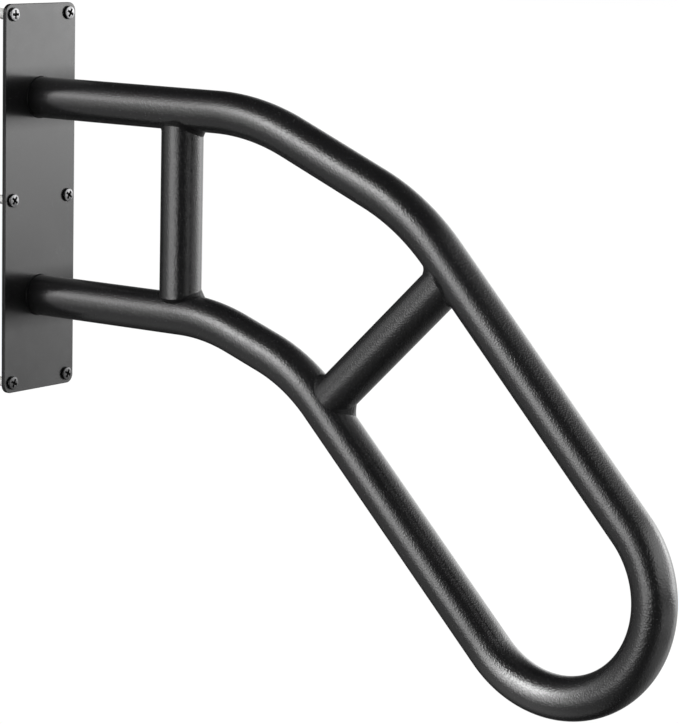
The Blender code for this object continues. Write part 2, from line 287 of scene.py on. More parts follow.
track, track_tangent = sampled(arc_step=math.radians(0.35), line_step=0.0015)
finder = KDTree(len(track))
for i, (x, z) in enumerate(track):
    finder.insert((x, 0.0, z), i)
finder.balance()


def nearest(places):
    """Nearest centreline point of each (x, z), and the distance to it."""
    i = np.array([finder.find((x, 0.0, z))[1] for x, z in places])
    along = ((places - track[i]) * track_tangent[i]).sum(1)
    best = track[i] + track_tangent[i] * np.clip(along, -0.002, 0.002)[:, None]
    return best, np.linalg.norm(places - best, axis=1)


# ------------------------------------------------------------------ node helpers
def grey(level, blue=None):
    """A grey, its blue channel a little off the others if given."""
    return (level, level, level if blue is None else blue)


class Nodes:
    """Short-hand for one node tree."""

    def __init__(self, tree):
        self.tree = tree

    def add(self, kind, **values):
        made = self.tree.nodes.new("ShaderNode" + kind)
        for key, value in values.items():
            setattr(made, key, value)
        return made

    def join(self, source, target):
        self.tree.links.new(source, target)

    def feed(self, value, socket):
        if isinstance(value, bpy.types.NodeSocket):
            self.join(value, socket)
        else:
            socket.default_value = value

    def math(self, operation, first, second=0.0, third=None, clamp=False):
        made = self.add("Math", operation=operation, use_clamp=clamp)
        self.feed(first, made.inputs[0])
        self.feed(second, made.inputs[1])
        if third is not None:
            self.feed(third, made.inputs[2])
        return made.outputs[0]

    def scaled(self, value, by, clamp=False):
        return self.math("MULTIPLY", value, by, clamp=clamp)

    def nudge(self, base, value, by):
        """base + value * by"""
        return self.math("MULTIPLY_ADD", value, by, base)

    def axes(self, vector):
        made = self.add("SeparateXYZ")
        self.join(vector, made.inputs[0])
        return tuple(made.outputs)

    def place(self):
        return self.add("TexCoord").outputs["Object"]

    def noise(self, where, scale, detail=2.0, roughness=0.5):
        made = self.add("TexNoise")
        self.join(where, made.inputs["Vector"])
        made.inputs["Scale"].default_value = scale
        made.inputs["Detail"].default_value = detail
        made.inputs["Roughness"].default_value = roughness
        return made.outputs["Fac"]

    def spread(self, value, of, to=(0.0, 1.0)):
        """The range `of` stretched onto the range `to`, and held there."""
        made = self.add("MapRange", clamp=True)
        self.join(value, made.inputs["Value"])
        made.inputs["From Min"].default_value, made.inputs["From Max"].default_value = of
        made.inputs["To Min"].default_value, made.inputs["To Max"].default_value = to
        return made.outputs["Result"]

    def mix(self, share, first, second):
        """From the first colour to the second as share goes from 0 to 1."""
        made = self.add("Mix", data_type="RGBA")
        self.feed(share, made.inputs["Factor"])
        for name, value in (("A", first), ("B", second)):
            socket = next(s for s in made.inputs if s.name == name and s.type == "RGBA")
            self.feed((*value, 1.0) if isinstance(value, tuple) else value, socket)
        return next(s for s in made.outputs if s.type == "RGBA")

    def either(self, share, first, second, output):
        """Blend two shaders into the output node."""
        blend = self.add("MixShader")
        for source, socket in zip((share, first, second), blend.inputs):
            self.join(source, socket)
        self.join(blend.outputs[0], output.inputs["Surface"])


class Finish(Nodes):
    """One material's tree, round its Principled shader."""

    def __init__(self, name, colour):
        self.material = bpy.data.materials.new(name)
        self.material.use_nodes = True
        self.material.diffuse_color = (*colour, 1.0)
        super().__init__(self.material.node_tree)
        self.shader = self.tree.nodes["Principled BSDF"]

    def set(self, name, value):
        self.feed(value, self.shader.inputs[name])

    def bump(self, height, strength=1.0, distance=1.0):
        made = self.add("Bump")
        made.inputs["Strength"].default_value = strength
        made.inputs["Distance"].default_value = distance
        self.join(height, made.inputs["Height"])
        self.set("Normal", made.outputs["Normal"])

    def relief(self, *layers):
        """Bump by the sum of (pattern, height in metres) layers."""
        (pattern, tall), *rest = layers
        height = self.scaled(pattern, by=tall)
        for pattern, tall in rest:
            height = self.nudge(height, pattern, by=tall)
        self.bump(height)

    def edge(self, radius):
        """1 on a worn edge, 0 on flat ground: how far a rounded normal leaves the true one."""
        rounded = self.add("Bevel", samples=4)
        rounded.inputs["Radius"].default_value = radius
        true = self.add("NewGeometry").outputs["Normal"]
        dot = self.add("VectorMath", operation="DOT_PRODUCT")
        self.join(rounded.outputs["Normal"], dot.inputs[0])
        self.join(true, dot.inputs[1])
        return self.math("SUBTRACT", 1.0, dot.outputs["Value"], clamp=True)


# ------------------------------------------------------------------ procedural finishes
MIDDLE = (0.3, 0.7)  # the range most noise falls in


def powder_coat(name, base, lighter, rough, peel, pebble, grain, wear=None, specular=0.5, highlight_spot=None):
    """Baked powder coat: orange peel, a leathery pebbled grain, slow drift in gloss, dust specks
    and painted shade in the grain's hollows. peel, pebble and grain are heights in metres, wear
    the radius of rubbed edges (with wear the painted shade by the tube feet comes too) and
    highlight_spot the point round which a highlight is painted."""
    nodes = Finish(name, base)
    where = nodes.place()
    drift = nodes.noise(where, scale=14.0, detail=3.0)
    cloud = nodes.noise(where, scale=90.0)
    wave = nodes.noise(where, scale=420.0, roughness=0.45)
    stone = nodes.noise(where, scale=840.0, detail=0.5)
    pimple = nodes.spread(stone, of=(0.46, 0.70))
    sand = nodes.noise(where, scale=3200.0, detail=1.0)
    # pebbles stand lower near the wall
    from_wall, _, up = nodes.axes(where)
    pimple = nodes.scaled(pimple, by=nodes.spread(from_wall, of=(0.02, 0.10), to=(0.40, 1.0)))
    nodes.relief((wave, peel), (pimple, pebble), (sand, grain))

    gloss = nodes.spread(drift, of=MIDDLE, to=(rough - 0.025, rough + 0.025))
    gloss = nodes.nudge(gloss, nodes.spread(cloud, of=(0.35, 0.65), to=(-1.0, 1.0)), by=0.012)
    gloss = nodes.nudge(gloss, nodes.spread(sand, of=(0.35, 0.7), to=(-1.0, 1.0)), by=0.02)

    colour = nodes.mix(nodes.spread(drift, of=MIDDLE), base, lighter)
    # painted shade: the colour is darker in the hollows between the pebbles
    hollow = nodes.spread(stone, of=(0.35, 0.65), to=(0.35, 0.0))
    colour = nodes.mix(hollow, colour, tuple(0.6 * channel for channel in base))
    specks = nodes.noise(where, scale=1700.0, detail=0.0)
    dust = nodes.spread(specks, of=(0.79, 0.84), to=(0.0, 0.30))
    colour = nodes.mix(dust, colour, grey(0.24, blue=0.25))
    if wear:
        # painted shade: the coat reflects less in a band across the plate at each tube foot's height,
        # standing in for the tube's shadow and reflection on the plate
        height = nodes.math("ABSOLUTE", up)
        near = nodes.math("ABSOLUTE", nodes.math("SUBTRACT", height, UPPER_Z))
        specular = nodes.scaled(nodes.spread(near, of=(0.011, 0.025), to=(0.42, 1.0)), by=specular)
        # and duller on the cut sides that face along the wall
        outwards = nodes.axes(nodes.add("NewGeometry").outputs["Normal"])[0]
        outwards = nodes.math("ABSOLUTE", outwards)
        cut = nodes.spread(outwards, of=(0.05, 0.5), to=(0.35, 1.0))
        specular = nodes.scaled(specular, by=cut)
        patchy = nodes.spread(cloud, of=(0.42, 0.62), to=(0.0, 1.6))
        rub = nodes.scaled(nodes.edge(wear), by=patchy, clamp=True)
        rub = nodes.scaled(rub, by=0.30)
        colour = nodes.mix(rub, colour, grey(0.16, blue=0.165))
        gloss = nodes.nudge(gloss, rub, by=-0.10)
    if highlight_spot:
        # painted highlight: the coat's specular is raised round this point on the end loop
        away = nodes.add("VectorMath", operation="DISTANCE")
        nodes.join(where, away.inputs[0])
        away.inputs[1].default_value = highlight_spot
        specular = nodes.spread(away.outputs["Value"], of=(0.018, 0.050), to=(0.98, specular))
    nodes.set("Base Color", colour)
    nodes.set("Roughness", gloss)
    nodes.set("Specular IOR Level", specular)
    return nodes.material


PLATE_COAT = powder_coat(
    "plate_coat", base=grey(0.005, blue=0.0052), lighter=grey(0.008, blue=0.0082), rough=0.225,
    peel=0.000004, pebble=0.000003, grain=0.000001, wear=0.0006, specular=0.46,
)
# the tube's coat, with a painted highlight round a point on the end loop
TUBE_COAT = powder_coat(
    "tube_coat", base=grey(0.007, blue=0.0072), lighter=grey(0.010, blue=0.0103), rough=0.165,
    peel=0.000018, pebble=0.000068, grain=0.000008, highlight_spot=(0.478, -0.012, -0.300),
)
# painted shade: the beads reflect much less than the tube, so the joints read as shaded
WELD_COAT = powder_coat(
    "weld_coat", base=grey(0.007, blue=0.0072), lighter=grey(0.010, blue=0.0103), rough=0.22,
    peel=0.000030, pebble=0.000070, grain=0.000008, specular=0.18,
)
# painted shade: darker and barely reflective, for the beads that sit in shade at the upright strut and
# round the tube feet
WELD_COAT_SHADE = powder_coat(
    "weld_coat_shade", base=grey(0.005, blue=0.0052), lighter=grey(0.007, blue=0.0072), rough=0.30,
    peel=0.000030, pebble=0.000070, grain=0.000008, specular=0.07,
)


def screw_steel():
    nodes = Finish("screw_steel", grey(0.36, blue=0.37))
    where = nodes.place()
    from_wall, across, up = nodes.axes(where)
    slant = nodes.add("CombineXYZ")
    nodes.join(nodes.math("ADD", across, up), slant.inputs[0])
    nodes.join(from_wall, slant.inputs[1])
    tool_marks = nodes.noise(slant.outputs[0], scale=7000.0, detail=1.0)
    pits = nodes.noise(where, scale=1500.0, detail=3.0, roughness=0.6)
    cloud = nodes.noise(where, scale=300.0)
    nodes.relief((tool_marks, 0.0000035), (pits, 0.000030))
    colour = nodes.mix(nodes.spread(cloud, of=MIDDLE), grey(0.11, blue=0.113), grey(0.25, blue=0.255))
    colour = nodes.mix(nodes.spread(pits, of=(0.52, 0.66), to=(0.0, 0.8)), colour, grey(0.03))
    # lighter rubbed edges, partly wear and partly a painted glint along the rims and the recess' lip
    rub = nodes.scaled(nodes.edge(radius=0.0003), by=1.2, clamp=True)
    colour = nodes.mix(rub, colour, grey(0.55))
    # painted shade: the lower screws are darkened, as the light on them falls off towards the bottom
    lower_shade = nodes.spread(up, of=(-0.15, 0.13), to=(0.80, 0.0))
    colour = nodes.mix(lower_shade, colour, grey(0.020))
    # painted shade: the head's sides and underside are darkened down against the plate
    contact_shade = nodes.spread(from_wall, of=(PLATE_T + 0.0011, PLATE_T + 0.0020), to=(0.94, 0.0))
    colour = nodes.mix(contact_shade, colour, grey(0.008))
    nodes.set("Base Color", colour)
    nodes.set("Metallic", 1.0)
    nodes.set("Roughness", nodes.spread(cloud, of=MIDDLE, to=(0.20, 0.30)))
    return nodes.material


# painted shade: the cross recess is coloured near black for the shade deep inside it
def recess_shade():
    nodes = Finish("recess_shade", grey(0.004))
    mottle = nodes.noise(nodes.place(), scale=1400.0)
    nodes.set("Base Color", nodes.mix(mottle, grey(0.002), grey(0.008)))
    nodes.set("Roughness", nodes.spread(mottle, of=MIDDLE, to=(0.65, 0.85)))
    nodes.set("Specular IOR Level", 0.15)
    nodes.bump(mottle, strength=0.4, distance=0.00003)
    return nodes.material


def plug_nylon():
    nodes = Finish("plug_nylon", grey(0.42, blue=0.41))
    where = nodes.place()
    flow = nodes.noise(where, scale=160.0, detail=3.0)
    skin = nodes.noise(where, scale=2600.0, detail=1.0)
    shade = nodes.spread(flow, of=MIDDLE)
    nodes.set("Base Color", nodes.mix(shade, grey(0.39, blue=0.38), grey(0.45, blue=0.44)))
    nodes.set("Roughness", nodes.spread(flow, of=MIDDLE, to=(0.42, 0.56)))
    nodes.set("Subsurface Weight", 0.12)
    nodes.set("Subsurface Radius", (0.0012, 0.0011, 0.0010))
    nodes.relief((skin, 0.0000015), (flow, 0.000030))
    return nodes.material


SCREW_STEEL = screw_steel()
RECESS_SHADE = recess_shade()
PLUG_NYLON = plug_nylon()

# ------------------------------------------------------------------ wall plate
CORNER_R = 0.007
EDGE_R = 0.00055
HOLE_R, HOLE_EDGE_R = 0.00275, 0.0002
CORNER_STEPS, HOLE_SIDES = 18, 48


def plate_outline():
    """The plate's rounded rim and its screw holes, as a filled and extruded curve."""
    outline = bpy.data.curves.new("plate_outline", "CURVE")
    outline.dimensions = "2D"
    outline.fill_mode = "BOTH"
    outline.extrude = PLATE_T / 2

    def loop(points):
        spline = outline.splines.new("POLY")
        spline.points.add(len(points) - 1)
        for point, (y, z) in zip(spline.points, points):
            point.co = (y, z, 0.0, 1.0)
        spline.use_cyclic_u = True

    rim = []
    for quarter, (sign_y, sign_z) in enumerate(((1, 1), (-1, 1), (-1, -1), (1, -1))):
        y, z = sign_y * (PLATE_W / 2 - CORNER_R), sign_z * (PLATE_H / 2 - CORNER_R)
        for i in range(CORNER_STEPS + 1):
            angle = math.radians(90) * (quarter + i / CORNER_STEPS)
            rim.append((y + CORNER_R * math.cos(angle), z + CORNER_R * math.sin(angle)))
    loop(rim)
    angles = [math.tau * i / HOLE_SIDES for i in range(HOLE_SIDES)]
    for y, z in SCREW_PLACES:
        loop([(y + HOLE_R * math.cos(angle), z + HOLE_R * math.sin(angle)) for angle in angles])
    return outline


def at_hole(edge):
    middle = (edge.verts[0].co + edge.verts[1].co) / 2
    return any(math.hypot(middle.y - y, middle.z - z) < HOLE_R * 1.2 for y, z in SCREW_PLACES)


def plate_mesh():
    holder = bpy.data.objects.new("plate_outline", plate_outline())
    bpy.context.scene.collection.objects.link(holder)
    mesh = evaluated(holder)
    bpy.data.objects.remove(holder, do_unlink=True)
    # stand the outline up: its own x, y, z become Y, Z, X
    stand = Matrix(((0, 0, 1, 0), (1, 0, 0, 0), (0, 1, 0, 0), (0, 0, 0, 1)))
    mesh.transform(Matrix.Translation((PLATE_T / 2, 0, 0)) @ stand)
    with editing(mesh) as work:
        bmesh.ops.remove_doubles(work, verts=work.verts, dist=0.000005)
        bmesh.ops.dissolve_limit(
            work, angle_limit=math.radians(0.5), verts=work.verts, edges=work.edges
        )
        for holes, radius, segments in ((False, EDGE_R, 4), (True, HOLE_EDGE_R, 2)):
            square = [
                edge
                for edge in work.edges
                if len(edge.link_faces) == 2
                and edge.calc_face_angle(0.0) > math.radians(60)
                and at_hole(edge) == holes
            ]
            bevel(work, square, radius, segments)
    mesh.materials.clear()
    return mesh


link("wall_plate_coated", plate_mesh(), PLATE_COAT, "wall_plate", degrees=40.0, weighted=True)


# ------------------------------------------------------------------ rail tube
def circle(sides):
    return np.arange(sides) * math.tau / sides


def rail_mesh():
    points, tangents = sampled(arc_step=math.radians(1.6), line_step=0.006)
    points[0, 0] = points[-1, 0] = PLATE_T + 0.00005  # clear of the plate's face
    normals = np.stack((-tangents[:, 1], tangents[:, 0]), 1)
    angle = circle(TUBE_SIDES)
    rows = []
    for radius in (TUBE_R, TUBE_R - TUBE_WALL):
        side, wide = radius * np.cos(angle), radius * np.sin(angle)
        for (x, z), (normal_x, normal_z) in zip(points, normals):
            rows.append(np.stack((x + side * normal_x, wide, z + side * normal_z), 1))
    return hollow_tube("rail_tube_coated", rows, TUBE_SIDES)


link("rail_tube_coated", rail_mesh(), TUBE_COAT, "rail_tube", degrees=50.0)


# ------------------------------------------------------------------ strut geometry
# A strut's axis is an origin and a heading in (x, z). Round it, `side` is the distance off the
# axis within the rail's plane and `wide` the distance along Y.
ACROSS = np.array((0.0, 1.0, 0.0))


def in_3d(places):
    """(x, z) places set in the plane Y = 0."""
    return np.stack((places[..., 0], np.zeros_like(places[..., 0]), places[..., 1]), -1)


def unit(vectors):
    return vectors / np.linalg.norm(vectors, axis=1)[:, None]


def onto_tube(points, axis):
    """Points moved out or in to a tube's surface; axis holds each one's place on its axis."""
    return axis + unit(points - axis) * TUBE_R


def run_axis(points):
    return in_3d(nearest(points[:, (0, 2)])[0])


def square_to(heading):
    return np.array((-heading[1], heading[0]))


def strut_points(origin, heading, side, wide, along):
    places = origin[None] + square_to(heading)[None] * side[:, None] + heading[None] * along[:, None]
    return np.stack((places[:, 0], wide, places[:, 1]), 1)


def crossing(origin, heading, sign):
    """How far along the axis the rail's centreline is, forwards or back."""

    def closest(reach):
        _, gap = nearest(origin[None] + heading[None] * reach[:, None] * sign)
        return reach[int(gap.argmin())]

    coarse = closest(np.arange(0.0, 0.14, 0.00025))
    return sign * closest(coarse + np.arange(-0.0003, 0.0003, 0.00001))


def cope(origin, heading, side, at, target):
    """Where each line beside the axis comes within target of the centreline, near the axis' own
    crossing."""
    sign = 1 if at > 0 else -1
    base = origin[None] + square_to(heading)[None] * side[:, None]
    low = np.full(len(side), at - sign * 0.045)
    high = np.empty(len(side))
    # each line has its own crossing where the run is bent or slopes
    probe = at + np.linspace(-0.012, 0.012, 49)
    for i in range(len(side)):
        _, gap = nearest(base[i][None] + heading[None] * probe[:, None])
        high[i] = probe[int(gap.argmin())]
    for _ in range(30):
        middle = (low + high) / 2
        _, gap = nearest(base + heading[None] * middle[:, None])
        outside = gap > target
        low = np.where(outside, middle, low)
        high = np.where(outside, high, middle)
    return (low + high) / 2


def end_height(wide, stand_off):
    """How far from the run's centreline the strut's shallow cope stands: close on the run in the
    rail's plane, stand_off at the strut's +Y and -Y edges, where weld fills in."""
    return ((TUBE_R**2 - np.minimum(wide**2, TUBE_R**2)) ** 2 + stand_off**4) ** 0.25


def strut_mesh(name, origin, heading, ends, count=46):
    """ends = (crossing, stand_off) of the bottom and of the top."""
    angle = circle(TUBE_SIDES)
    rows = []
    for radius in (TUBE_R, TUBE_R - TUBE_WALL):
        side, wide = radius * np.cos(angle), radius * np.sin(angle)
        bottom, top = (
            cope(origin, heading, side, at, end_height(wide, stand_off)) for at, stand_off in ends
        )
        for row in range(count):
            along = bottom + (top - bottom) * (row / (count - 1))
            rows.append(strut_points(origin, heading, side, wide, along))
    return hollow_tube(name, rows, TUBE_SIDES)


# ------------------------------------------------------------------ weld beads
BEAD_ACROSS = 13  # points from toe to toe
BEAD_PITCH = 0.0026  # between ripples
BEAD_SINK = 0.0001  # of the toes under the surfaces
BEAD_WANDER = 0.08  # of the legs' length, as a share


def bead(name, seam, base_start, tube_up, base_up, to_tube, to_base, tube_out, base_out, legs, crown,
         root, seed, ripple):
    """A closed weld bead along a closed seam, between a tube's end and the base it stands on.
    Its toes lie on the tube and the base, legs = (leg up the tube, leg along the base, fill);
    fill 0 is hollow and 1 flat, crown lifts its middle and root closes it out of sight."""
    tube_leg, base_leg, fill = legs
    count = len(seam)
    step = np.linalg.norm(np.roll(seam, -1, 0) - seam, axis=1)
    length = step.sum()
    run = np.concatenate(((0.0,), np.cumsum(step)[:-1]))
    phase = math.tau * round(length / BEAD_PITCH) * run / length
    rng = np.random.default_rng(seed)
    wander = np.zeros((2, count))
    for k in range(2, 9):
        size = rng.normal(0, 1.0, 2) / k
        shift = rng.uniform(0, math.tau, 2)
        for toe in range(2):
            wander[toe] += size[toe] * np.cos(math.tau * k * run / length + shift[toe])
    wander *= BEAD_WANDER
    tube_reach = tube_leg * (1 + wander[0]) + ripple * np.cos(phase)
    base_reach = base_leg * (1 + wander[1]) + ripple * np.cos(phase + 0.7)
    tube_toe = to_tube(seam + tube_up * tube_reach[:, None])
    base_toe = to_base(base_start + base_up * base_reach[:, None])
    middle = unit(tube_out + base_out)
    hold = seam + ((tube_toe + base_toe) / 2 - seam) * fill[:, None] + middle * crown
    rows = []
    for j in range(BEAD_ACROSS):
        q = j / (BEAD_ACROSS - 1)
        point = tube_toe * (1 - q) ** 2 + hold * 2 * q * (1 - q) + base_toe * q**2
        lift = ripple * np.cos(phase + 2.2 * (2 * q - 1) ** 2) * math.sin(math.pi * q)
        rows.append(point + middle * lift[:, None])
    rows[0] = rows[0] - tube_out * BEAD_SINK
    rows[-1] = rows[-1] - base_out * BEAD_SINK
    rows.append(root)
    points = np.stack(rows, 1).reshape(-1, 3)
    return mesh_from(name, points, rings(count, BEAD_ACROSS + 1, closed=True))


def bead_legs(around, profile):
    """The profile's legs and fill, smoothed, at each angle round the strut."""
    table = np.array(sorted((angle % 360, *rest) for angle, *rest in profile))
    fine = np.arange(0.0, 360.0, 1.0)
    window = np.hanning(17)
    legs = []
    for column, scale in ((1, 0.001), (2, 0.001), (3, 1.0)):
        values = np.interp(fine, table[:, 0], table[:, column], period=360) * scale
        values = np.concatenate((values[-8:], values, values[:8]))
        values = np.convolve(values, window / window.sum(), "valid")
        legs.append(np.interp(around, fine, values, period=360))
    return legs


def strut_bead(name, origin, heading, at, stand_off, profile, seed, steps=336):
    sign = 1 if at > 0 else -1
    beside, axis = in_3d(square_to(heading)), in_3d(heading)
    angle = (np.arange(steps) + 0.5) * math.tau / steps
    side, wide = TUBE_R * np.cos(angle), TUBE_R * np.sin(angle)
    along = cope(origin, heading, side, at, end_height(wide, stand_off))
    seam = strut_points(origin, heading, side, wide, along)
    away = np.tile(-axis * sign, (steps, 1))  # from the run into the strut

    def to_strut(points):
        on_axis = ((points - in_3d(origin)) @ axis)[:, None] * axis[None] + in_3d(origin)[None]
        return onto_tube(points, on_axis)

    def to_run(points):
        return onto_tube(points, run_axis(points))

    foot = to_run(seam)
    strut_out = np.cos(angle)[:, None] * beside[None] + np.sin(angle)[:, None] * ACROSS[None]
    run_out = unit(seam - run_axis(seam))
    along_run = unit(strut_out - run_out * (strut_out * run_out).sum(1)[:, None])
    around = np.degrees(np.arctan2(np.sin(angle), np.cos(angle) * np.sign(beside[0])))
    return bead(
        name, seam, foot, away, along_run, to_strut, to_run, strut_out, run_out,
        bead_legs(around, profile), crown=0.0001, root=foot - run_out * 0.0005 - strut_out * 0.0015,
        seed=seed, ripple=0.00002,
    )


# ------------------------------------------------------------------ struts and their beads
# the diagonal strut's axis: a point on it, its slope and how far beyond that its origin is
DIAGONAL_POINT = np.array((0.2985, -0.119))
DIAGONAL_RISE, DIAGONAL_RUN = 0.0985, 0.1005
DIAGONAL_ORIGIN_REACH = 0.06
slope = math.atan2(DIAGONAL_RISE, DIAGONAL_RUN)
DIAGONAL_HEADING = np.array((math.cos(slope), math.sin(slope)))
DIAGONAL_ORIGIN = DIAGONAL_POINT + DIAGONAL_HEADING * DIAGONAL_ORIGIN_REACH

# Bead profiles: degrees round the strut (0 towards +X, 90 towards +Y), leg on the strut and leg
# on the run in millimetres, fill. Towards -Y the bead only rounds the strut's lip.
LIP = ((-90, 1.1, 0.9, 0.30), (-50, 1.1, 0.9, 0.35))
# name, origin, heading, bead material, then for each end: name, stand_off, seed, profile
STRUTS = (
    ("vertical_strut", np.array(((strut_low.x + strut_high.x) / 2, 0.0)), np.array((0.0, 1.0)),
     WELD_COAT_SHADE, (
        ("bottom", 0.0129, 16, LIP + (
            (-20, 1.0, 0.9, 0.35), (5, 1.4, 1.0, 0.4), (25, 3.2, 2.4, 0.6), (44, 4.7, 6.6, 0.95),
            (90, 4.0, 4.5, 0.9), (150, 2.0, 2.0, 0.6), (180, 1.0, 1.0, 0.6), (222, 0.8, 0.8, 0.5))),
        ("top", 0.0120, 21, LIP + (
            (-20, 1.2, 1.0, 0.3), (0, 2.2, 1.6, 0.5), (40, 6.4, 4.6, 0.75), (90, 5.0, 4.0, 0.8),
            (150, 2.5, 2.5, 0.6), (180, 2.0, 1.7, 0.6), (222, 2.2, 1.7, 0.6))),
    )),
    ("diagonal_strut", DIAGONAL_ORIGIN, DIAGONAL_HEADING, WELD_COAT, (
        ("bottom", 0.0112, 28, LIP + (
            (-15, 2.2, 2.4, 0.6), (0, 3.6, 4.0, 0.7), (20, 5.3, 5.9, 0.78), (90, 4.5, 4.5, 0.8),
            (150, 3.5, 3.5, 0.7), (200, 3.0, 3.5, 0.7), (240, 1.3, 1.2, 0.4))),
        ("top", 0.0092, 33, LIP + (
            (0, 2.2, 2.4, 0.6), (20, 3.0, 3.4, 0.7), (90, 4.0, 4.0, 0.8), (160, 4.0, 4.0, 0.6),
            (200, 4.2, 4.3, 0.48), (240, 1.4, 1.2, 0.4))),
    )),
)
for label, origin, heading, coat, ends in STRUTS:
    crossings = [crossing(origin, heading, sign) for sign in (-1, 1)]
    stand_offs = [stand_off for _, stand_off, _, _ in ends]
    mesh = strut_mesh(label + "_coated", origin, heading, list(zip(crossings, stand_offs)))
    link(label + "_coated", mesh, TUBE_COAT, label, degrees=50.0)
    for at, (end, stand_off, seed, profile) in zip(crossings, ends):
        name = f"{label}_{end}_bead"
        mesh = strut_bead(name, origin, heading, at, stand_off, profile, seed)
        link(name, mesh, coat, f"{label}_{end}_weld", degrees=60.0)


# ------------------------------------------------------------------ plate weld beads
def plate_bead(name, height, seed, steps=324):
    """The bead round a run's foot on the plate."""
    angle = circle(steps)
    radial = np.stack((np.zeros(steps), np.cos(angle), np.sin(angle)), 1)
    forward = np.tile(np.array((1.0, 0.0, 0.0)), (steps, 1))
    centre = np.array((PLATE_T, 0.0, height))
    seam = centre[None] + radial * TUBE_R

    def to_tube(points):
        axis = np.tile(centre, (steps, 1))
        axis[:, 0] = points[:, 0]
        return onto_tube(points, axis)

    def to_plate(points):
        flat = points.copy()
        flat[:, 0] = PLATE_T
        return flat

    legs = [np.full(steps, value) for value in (0.0011, 0.0006, 0.6)]
    return bead(
        name, seam, seam, forward, radial, to_tube, to_plate, radial, forward, legs, crown=0.0,
        root=seam - radial * 0.0012 - forward * 0.0002, seed=seed, ripple=0.00001,
    )


for label, height, seed in (("upper_plate", UPPER_Z, 41), ("lower_plate", LOWER_Z, 43)):
    mesh = plate_bead(label + "_bead", height, seed)
    # the plate beads take the painted shade coat
    link(label + "_bead", mesh, WELD_COAT_SHADE, label + "_weld", degrees=60.0)

# ------------------------------------------------------------------ screws, heads up at z = 0
HEAD_R, HEAD_H, HEAD_SIDE = 0.0053, 0.0024, 0.0011
DOME_SHARE, DOME_DROP = 0.83, 0.00035  # the dome's share of the head's radius, its fall at the rim
SHANK_R, THREAD_R, CORE_R = 0.0023, 0.0025, 0.0018
SCREW_LENGTH, TIP_LENGTH, PLAIN_LENGTH = 0.0447, 0.007, 0.0065
THREAD_PITCH, RINGS_PER_TURN = 0.0018, 8
RECESS_SPAN, RECESS_WIDTH, RECESS_DEPTH = 0.0076, 0.0020, 0.0019


def dome_height(share):
    return HEAD_H - DOME_DROP * share**2.2


def screw_mesh(sides=72):
    """Pan head with a raised dome, a washer-like rim, a threaded shank and a gimlet point."""
    angle = circle(sides)
    rows = []

    def ring(radius, z):
        radius = np.broadcast_to(radius, (sides,))
        rows.append(np.stack((radius * np.cos(angle), radius * np.sin(angle), np.full(sides, z)), 1))

    # the dome, from just off the middle to the shoulder, then the rolled rim
    for share in (0.10, 0.24, 0.38, 0.50, 0.60, 0.69, 0.77, DOME_SHARE):
        ring(HEAD_R * share, dome_height(share))
    shoulder_r, shoulder_z = HEAD_R * DOME_SHARE, dome_height(DOME_SHARE)
    for i in range(1, 9):
        turn = math.radians(90) * i / 8
        ring(
            shoulder_r + (HEAD_R - shoulder_r) * math.sin(turn) ** 0.92,
            HEAD_SIDE + (shoulder_z - HEAD_SIDE) * math.cos(turn) ** 0.92 if i < 8 else HEAD_SIDE,
        )
    # the head's side and underside, then the plain shank
    ring(HEAD_R, 0.0003)
    ring(HEAD_R - 0.0001, 0.00008)
    ring(HEAD_R - 0.0003, 0.0)
    ring(SHANK_R + 0.0004, 0.0)
    ring(SHANK_R + 0.0001, -0.00015)
    ring(SHANK_R, -0.0006)
    ring(SHANK_R, -PLAIN_LENGTH + 0.0015)
    # the thread, fading in below the plain shank and tapering to the point
    start, end = -PLAIN_LENGTH, -SCREW_LENGTH
    count = int(round((start - end) / THREAD_PITCH * RINGS_PER_TURN))
    for i in range(count + 1):
        z = start + (end - start) * i / count
        phase = ((z / THREAD_PITCH + angle / math.tau) % 1.0) * 2 - 1
        tooth = np.clip(1 - np.abs(phase) * 2.1, 0, 1) ** 0.8
        fade_in = min(1.0, (start - z) / 0.003)
        taper = min(1.0, (z - end) / TIP_LENGTH)
        core = CORE_R + (SHANK_R - CORE_R) * (1 - fade_in)
        core = core * taper**0.75 + 0.00004
        height = (THREAD_R - CORE_R) * fade_in * min(1.0, taper * 1.25 + 0.02)
        ring(core + tooth * height, z)
    faces = rings(len(rows), sides)
    top = len(rows) * sides
    last = top - sides
    points = np.concatenate(rows + [np.array([[0.0, 0.0, HEAD_H], [0.0, 0.0, end - 0.00025]])])
    for j in range(sides):
        k = (j + 1) % sides
        faces.append((top, k, j))
        faces.append((top + 1, last + j, last + k))
    return mesh_from("screw", points, faces)


def recess_cutter():
    """A cross of four tapering wings round a blunt cone."""
    work = bmesh.new()
    for quarter in (0, 90):
        made = bmesh.ops.create_cube(work, size=1.0)
        for vert in made["verts"]:
            low = vert.co.z < 0
            vert.co.x *= RECESS_SPAN * (0.40 if low else 1.06)
            vert.co.y *= RECESS_WIDTH * (0.62 if low else 1.08)
            vert.co.z = HEAD_H - RECESS_DEPTH if low else HEAD_H + 0.0003
        turn = Matrix.Rotation(math.radians(quarter), 3, "Z")
        bmesh.ops.rotate(work, verts=made["verts"], cent=(0, 0, 0), matrix=turn)
    bmesh.ops.create_cone(
        work, cap_ends=True, segments=24, radius1=0.00055, radius2=0.00165,
        depth=RECESS_DEPTH + 0.0003,
        matrix=Matrix.Translation((0, 0, HEAD_H + 0.00015 - RECESS_DEPTH / 2)),
    )
    return stored("recess_cutter", work)


